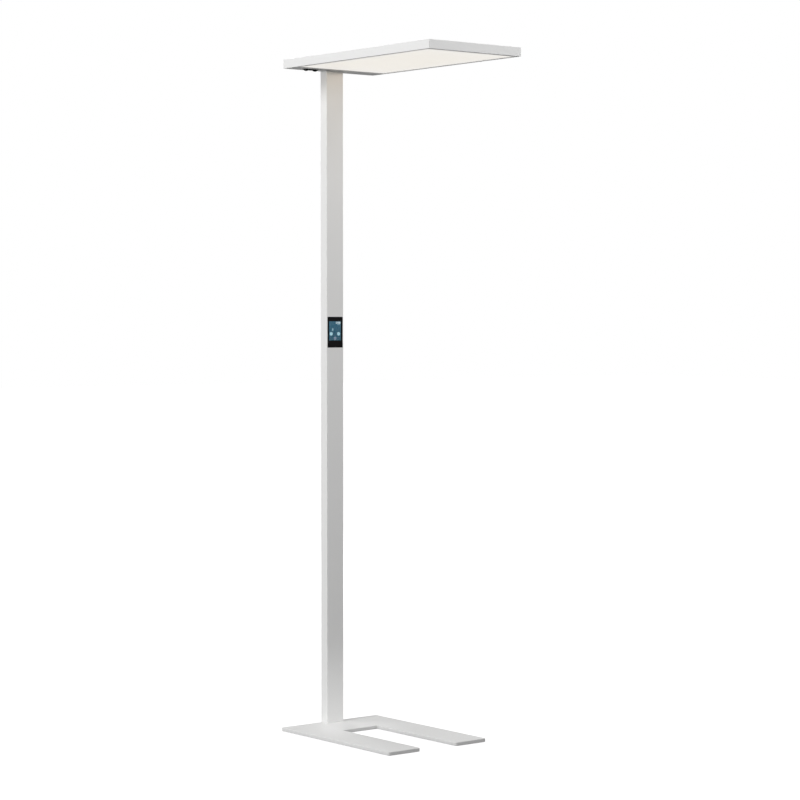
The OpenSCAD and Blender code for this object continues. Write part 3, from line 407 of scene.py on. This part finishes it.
def picture_middle():
    """The middle of the display's picture, on the front of its panel."""
    low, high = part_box("display_panel")
    return Vector((0, low.y, (low.z + high.z) / 2))


def from_middle(s):
    """Distances across and up from the middle of the display's picture."""
    axes = s.axes()
    return axes["X"], s.math("SUBTRACT", axes["Z"], picture_middle().z)


def cover_glass(name):
    """Glass with a black print on its back, clear over the picture, with faint finger marks."""
    s = Shader(name)
    across, up = from_middle(s)
    in_width = s.math("LESS_THAN", s.math("ABSOLUTE", across), PICTURE_W)
    in_height = s.math("LESS_THAN", s.math("ABSOLUTE", up), PICTURE_H)
    inside = s.math("MULTIPLY", in_width, in_height)
    marks = s.noise(70.0, detail=3.0, rough=0.6)
    rough = s.span(marks, (0.45, 0.75), (0.02, 0.07))
    tone = s.mix(inside, GLASS_PRINT, GLASS_TINT)
    s.principled(Base_Color=tone, Roughness=rough, IOR=GLASS_IOR, Specular_IOR_Level=0.30,
                 Transmission_Weight=inside)
    return s.mat


def picture_light(name):
    """The lit picture: deep teal, lighter at its top and round its edges, over a fine pixel grid."""
    s = Shader(name)
    across, up = from_middle(s)
    height = s.span(up, (-PICTURE_H, PICTURE_H), (0.0, 1.0))
    tone = s.mix(height, PICTURE_FOOT, PICTURE_HEAD)
    sides = s.edgeward(across, PICTURE_W, power=6.0)
    ends = s.edgeward(up, PICTURE_H, power=10.0)
    rim = s.math("MAXIMUM", sides, ends, clamp=True)
    tone = s.mix(s.math("MULTIPLY", rim, PICTURE_RIM_SHARE), tone, PICTURE_RIM)
    haze = s.span(s.noise(55.0), (0.35, 0.7), (0.0, PICTURE_HAZE_SHARE))
    tone = s.mix(haze, tone, PICTURE_HAZE)
    grid = s.texture("ShaderNodeTexBrick", s.turned(), Scale=1.0, Brick_Width=PIXEL,
                     Row_Height=PIXEL, Mortar_Size=PIXEL_GAP)
    grid.offset = 0.0
    tone = s.mix(s.math("MULTIPLY", grid.outputs["Fac"], PIXEL_GAP_LOSS), tone, NO_LIGHT)
    s.lit(tone)
    return s.mat


def icon_light(name, color):
    """A lit symbol on the display, a little uneven."""
    s = Shader(name)
    s.lit(s.cloudy(color, shade=0.10, scale=180.0))
    return s.mat


def assign(material, *nodes):
    """Gives CAD nodes a material."""
    for name in nodes:
        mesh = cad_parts[name].data
        mesh.materials.clear()
        mesh.materials.append(material)


def dress_cad():
    """Gives every CAD node its material."""
    assign(powder_coat("coat_rails", COAT), "side_rails", "front_rail", "rear_rail")
    assign(powder_coat("coat_cover", dark(COAT, 0.01)), "rear_cover", "top_cover")
    assign(powder_coat("coat_column", COAT), "column_profile")
    assign(powder_coat("coat_plate", COAT, grain=1.2), "base_plate")
    assign(glowing_panel("panel_glow"), "light_panel")
    assign(clear_sheet("guide_clear", GUIDE_TINT, rough=0.05), "light_guide")
    assign(clear_sheet("window_satin", WINDOW_TINT, rough=0.32), "top_window")
    assign(plastic("reflector_white", REFLECTOR, (0.5, 0.6), 400.0, 0.05), "reflector_sheet")
    assign(metal("mill_tray", MILL, (0.32, 0.48), brush=(1, 0.02, 1)), "chassis_tray", "corner_keys")
    assign(metal("zinc_bracket", ZINC, (0.35, 0.5)), "head_bracket")
    assign(metal("zinc_screw", ZINC, (0.28, 0.42)), "base_screws", "head_screws", "tray_screws",
           "cover_screws_top", "driver_screws", "sensor_screws", "board_screws", "housing_screws")
    assign(board("board_white", WHITE_BOARD), "uplight_boards", "edge_light_strips")
    assign(board("board_green", GREEN_BOARD), "sensor_board", "display_board")
    assign(plastic("driver_case", WHITE_PLASTIC), "led_driver")
    assign(plastic("clip_white", WHITE_PLASTIC), "lead_clips", "supply_terminal")
    assign(plastic("sheath_black", BLACK, (0.5, 0.65)), "supply_lead", "data_lead")
    assign(plastic("rubber_black", RUBBER, (0.6, 0.75)), "cable_grommet", "display_seal")
    assign(plastic("glide_black", GLIDE, (0.5, 0.65)), "floor_glides")
    assign(plastic("housing_black", BLACK, (0.4, 0.55)), "display_housing")
    assign(plastic("bezel_black", BEZEL, (0.5, 0.65), gloss=0.0), "sensor_bezel")
    assign(dome("lens_black", PRESENCE_DOME, (0.40, 0.52), gloss=0.01), "presence_lens")
    assign(dome("lens_smoke", DAYLIGHT_DOME, (0.35, 0.46), gloss=0.02), "daylight_lens")
    assign(cover_glass("cover_glass"), "display_glass")
    assign(picture_light("picture_light"), "display_panel")


# ------------------------------------------------------------ the display's symbols

def disc(radius, sides):
    """The outline of a disc, from its middle."""
    return [(radius * math.cos(a), radius * math.sin(a))
            for a in (2 * math.pi * i / sides for i in range(sides))]


def pill(width, height):
    """The outline of a bar with round ends, from its middle, with six steps to a quarter turn."""
    steps = 6
    r = min(width, height) / 2
    mid_x = width / 2 - r
    mid_z = height / 2 - r
    corners = ((mid_x, mid_z, 0), (-mid_x, mid_z, 90), (-mid_x, -mid_z, 180), (mid_x, -mid_z, 270))
    outline = []
    for x, z, start in corners:
        for i in range(steps + 1):
            a = math.radians(start + 90 * i / steps)
            outline.append((x + r * math.cos(a), z + r * math.sin(a)))
    return outline


def arc(radius, width, start, end):
    """The outline of a bent stroke about the middle, between two angles in degrees."""
    steps = 40
    angles = [math.radians(start + (end - start) * i / steps) for i in range(steps + 1)]
    r_out = radius + width / 2
    r_in = radius - width / 2
    outer = [(r_out * math.cos(a), r_out * math.sin(a)) for a in angles]
    inner = [(r_in * math.cos(a), r_in * math.sin(a)) for a in reversed(angles)]
    return outer + inner


def half_oval(half_w, height):
    """The outline of an oval's upper half, from the middle of its flat side."""
    steps = 24
    return [(half_w * math.cos(a), height * math.sin(a))
            for a in (math.pi * i / steps for i in range(steps + 1))]


class Symbol:
    """A thin lit symbol on the front of the display's panel, built up of raised outlines."""

    def __init__(self, name, at):
        self.name = name
        self.at = at
        self.bm = bmesh.new()
        self.materials = []

    def raise_outline(self, outline, material, aside=(0.0, 0.0), level=0):
        """One outline as a plate, raised off the panel by its thickness for each level."""
        if material not in self.materials:
            self.materials.append(material)
        middle = picture_middle()
        x0 = middle.x + self.at[0] + aside[0]
        z0 = middle.z + self.at[1] + aside[1]
        back_y = middle.y - level * ICON_T
        back = [self.bm.verts.new((x0 + x, back_y, z0 + z)) for x, z in outline]
        front = [self.bm.verts.new((x0 + x, back_y - ICON_T, z0 + z)) for x, z in outline]
        faces = [self.bm.faces.new(back), self.bm.faces.new(list(reversed(front)))]
        for i in range(len(outline)):
            j = (i + 1) % len(outline)
            faces.append(self.bm.faces.new((back[j], back[i], front[i], front[j])))
        for face in faces:
            face.material_index = self.materials.index(material)

    def done(self):
        """Puts the symbol into the scene, riding on the body."""
        bmesh.ops.recalc_face_normals(self.bm, faces=self.bm.faces[:])
        mesh = bpy.data.meshes.new(self.name)
        self.bm.to_mesh(mesh)
        self.bm.free()
        for material in self.materials:
            mesh.materials.append(material)
        obj = bpy.data.objects.new(self.name, mesh)
        bpy.context.scene.collection.objects.link(obj)
        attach(obj, "root")


def draw_clock(material):
    """The time of day in plain digits of seven strokes, at the picture's upper right."""
    half = DIGIT_H / 2
    quarter = DIGIT_H / 4
    flat = pill(DIGIT_W - DIGIT_STROKE * 0.4, DIGIT_STROKE)
    upright = pill(DIGIT_STROKE, half)
    dot = disc(DIGIT_STROKE * 0.55, DOT_SIDES)
    # each stroke's letter, its side (left -1, right 1), its height and its outline
    strokes = {
        "a": (0, half - DIGIT_STROKE / 2, flat),
        "b": (1, quarter, upright),
        "c": (1, -quarter, upright),
        "d": (0, -half + DIGIT_STROKE / 2, flat),
        "e": (-1, -quarter, upright),
        "f": (-1, quarter, upright),
        "g": (0, 0, flat),
    }
    digits = {"0": "abcdef", "1": "bc", "2": "abged", "3": "abgcd"}
    clock = Symbol("clock", (CLOCK_AT[0] + DIGIT_W / 2, CLOCK_AT[1]))
    aside = 0.0
    for sign in CLOCK:
        if sign == ":":
            for up in (-1, 1):
                clock.raise_outline(dot, material, (aside - COLON_BACK, up * DIGIT_H / 5))
            aside += COLON_STEP
            continue
        for letter in digits[sign]:
            side, up, outline = strokes[letter]
            clock.raise_outline(outline, material, (aside + side * (DIGIT_W - DIGIT_STROKE) / 2, up))
        aside += DIGIT_STEP
    clock.done()


def draw_level(material):
    """The light level, as a row of marks."""
    level = Symbol("light_level", LEVEL_AT)
    for i in range(LEVEL_MARKS):
        level.raise_outline(pill(*LEVEL_MARK), material, (i * LEVEL_STEP, 0.0))
    level.done()


def draw_presence(material):
    """A person's head and shoulders."""
    person = Symbol("presence", PRESENCE_AT)
    person.raise_outline(disc(PERSON_HEAD_R, SMALL_SIDES), material, (0.0, PERSON_HEAD_UP))
    person.raise_outline(half_oval(PERSON_HALF_W, PERSON_H), material, (0.0, -PERSON_H))
    person.done()


def draw_dimming(ground, sign):
    """Two round buttons, one with a minus and one with a plus."""
    flat = pill(SIGN_LENGTH, SIGN_STROKE)
    upright = pill(SIGN_STROKE, SIGN_LENGTH)
    for name, at, strokes in (("dim_less", LESS_AT, (flat,)), ("dim_more", MORE_AT, (flat, upright))):
        button = Symbol(name, at)
        button.raise_outline(disc(BUTTON_R, ROUND_SIDES), ground)
        for level, stroke in enumerate(strokes, 1):
            button.raise_outline(stroke, sign, level=level)
        button.done()


def draw_power(ground, sign):
    """A round button with an open ring and a bar in its gap."""
    power = Symbol("power", POWER_AT)
    power.raise_outline(disc(BUTTON_R, ROUND_SIDES), ground)
    power.raise_outline(arc(POWER_R, POWER_STROKE, 130, 410), sign, level=1)
    power.raise_outline(pill(POWER_STROKE, POWER_BAR), sign, (0, POWER_BAR_UP), level=1)
    power.done()


def draw_symbols():
    """What the display shows: the time, the light level, presence, dimming and power."""
    pale = icon_light("icon_pale", (0.42, 0.66, 0.75))
    deep = icon_light("icon_deep", (0.06, 0.22, 0.31))
    white = icon_light("icon_white", (0.86, 0.96, 1.0))
    lilac = icon_light("icon_lilac", (0.120, 0.165, 0.240))
    lilac_bright = icon_light("icon_lilac_bright", (0.36, 0.43, 0.54))
    draw_clock(white)
    draw_level(pale)
    draw_presence(pale)
    draw_dimming(pale, deep)
    draw_power(lilac, lilac_bright)


# ----------------------------------------------------------------------- stage

def floor_material():
    """White where it is seen, apart from the shadow, and dark to the rays that light the object."""
    s = Shader("floor_white")
    rays = s.add("ShaderNodeLightPath").outputs
    seen = s.math("MAXIMUM", rays["Is Camera Ray"], rays["Is Glossy Ray"])
    seen = s.math("MAXIMUM", seen, rays["Is Transmission Ray"])
    away = s.add("ShaderNodeVectorMath", operation="LENGTH")
    s.join(s.place, away.inputs[0])
    far = s.span(away.outputs["Value"], (FAR_FROM, FAR_TO), (0.0, FAR_GLOW))
    far = s.math("MULTIPLY", rays["Is Camera Ray"], far)
    glow = s.math("ADD", s.math("MULTIPLY", seen, FLOOR_GLOW), far)
    tone = s.mix(seen, FLOOR_LIGHTING, FLOOR_SEEN)
    s.principled(Base_Color=tone, Roughness=0.9, Specular_IOR_Level=0.0,
                 Emission_Color=WHITE, Emission_Strength=glow)
    return s.mat


def make_floor():
    """A wide square floor at height 0."""
    mesh = bpy.data.meshes.new("floor")
    corners = [(x * FLOOR_HALF, y * FLOOR_HALF, 0) for x, y in ((-1, -1), (1, -1), (1, 1), (-1, 1))]
    mesh.from_pydata(corners, [], [(0, 1, 2, 3)])
    floor = bpy.data.objects.new("floor", mesh)
    bpy.context.scene.collection.objects.link(floor)
    mesh.materials.append(floor_material())


def make_world():
    """White where it is seen, directly or through glass, and a dim even room for its light."""
    world = bpy.data.worlds.new("studio")
    bpy.context.scene.world = world
    world.use_nodes = True
    tree = world.node_tree
    tree.nodes.clear()
    out = tree.nodes.new("ShaderNodeOutputWorld")
    room = tree.nodes.new("ShaderNodeBackground")
    room.inputs["Color"].default_value = (1, 1, 1, 1)
    room.inputs["Strength"].default_value = ROOM_LIGHT
    white = tree.nodes.new("ShaderNodeBackground")
    white.inputs["Color"].default_value = (1, 1, 1, 1)
    rays = tree.nodes.new("ShaderNodeLightPath")
    seen = tree.nodes.new("ShaderNodeMath")
    seen.operation = "MAXIMUM"
    tree.links.new(rays.outputs["Is Camera Ray"], seen.inputs[0])
    tree.links.new(rays.outputs["Is Transmission Ray"], seen.inputs[1])
    mixer = tree.nodes.new("ShaderNodeMixShader")
    tree.links.new(seen.outputs[0], mixer.inputs["Fac"])
    tree.links.new(room.outputs[0], mixer.inputs[1])
    tree.links.new(white.outputs[0], mixer.inputs[2])
    tree.links.new(mixer.outputs[0], out.inputs["Surface"])


def make_lamp(name, at, toward, width, length, power, color, spread):
    """A rectangular area lamp that faces a point and isn't seen itself."""
    lamp = bpy.data.lights.new(name, "AREA")
    lamp.shape = "RECTANGLE"
    lamp.size = width
    lamp.size_y = length
    lamp.energy = power
    lamp.color = color
    lamp.spread = math.radians(spread)
    obj = bpy.data.objects.new(name, lamp)
    obj.location = at
    obj.rotation_euler = (Vector(toward) - Vector(at)).to_track_quat("-Z", "Y").to_euler()
    obj.visible_camera = False
    bpy.context.scene.collection.objects.link(obj)


def make_camera():
    """The photograph's camera, which looks down a little."""
    data = bpy.data.cameras.new("camera")
    data.sensor_width = SENSOR_MM
    data.lens = FOCAL_PX / IMAGE_PX * SENSOR_MM
    camera = bpy.data.objects.new("camera", data)
    camera.location = CAMERA_AT
    camera.rotation_euler = (math.radians(90) - CAMERA_DOWN, 0, -CAMERA_TURN)
    bpy.context.scene.collection.objects.link(camera)
    bpy.context.scene.camera = camera


make_camera()
make_floor()
make_world()
for lamp_row in LAMPS:
    make_lamp(*lamp_row)
dress_cad()
draw_symbols()

bpy.context.scene.view_settings.view_transform = "Standard"
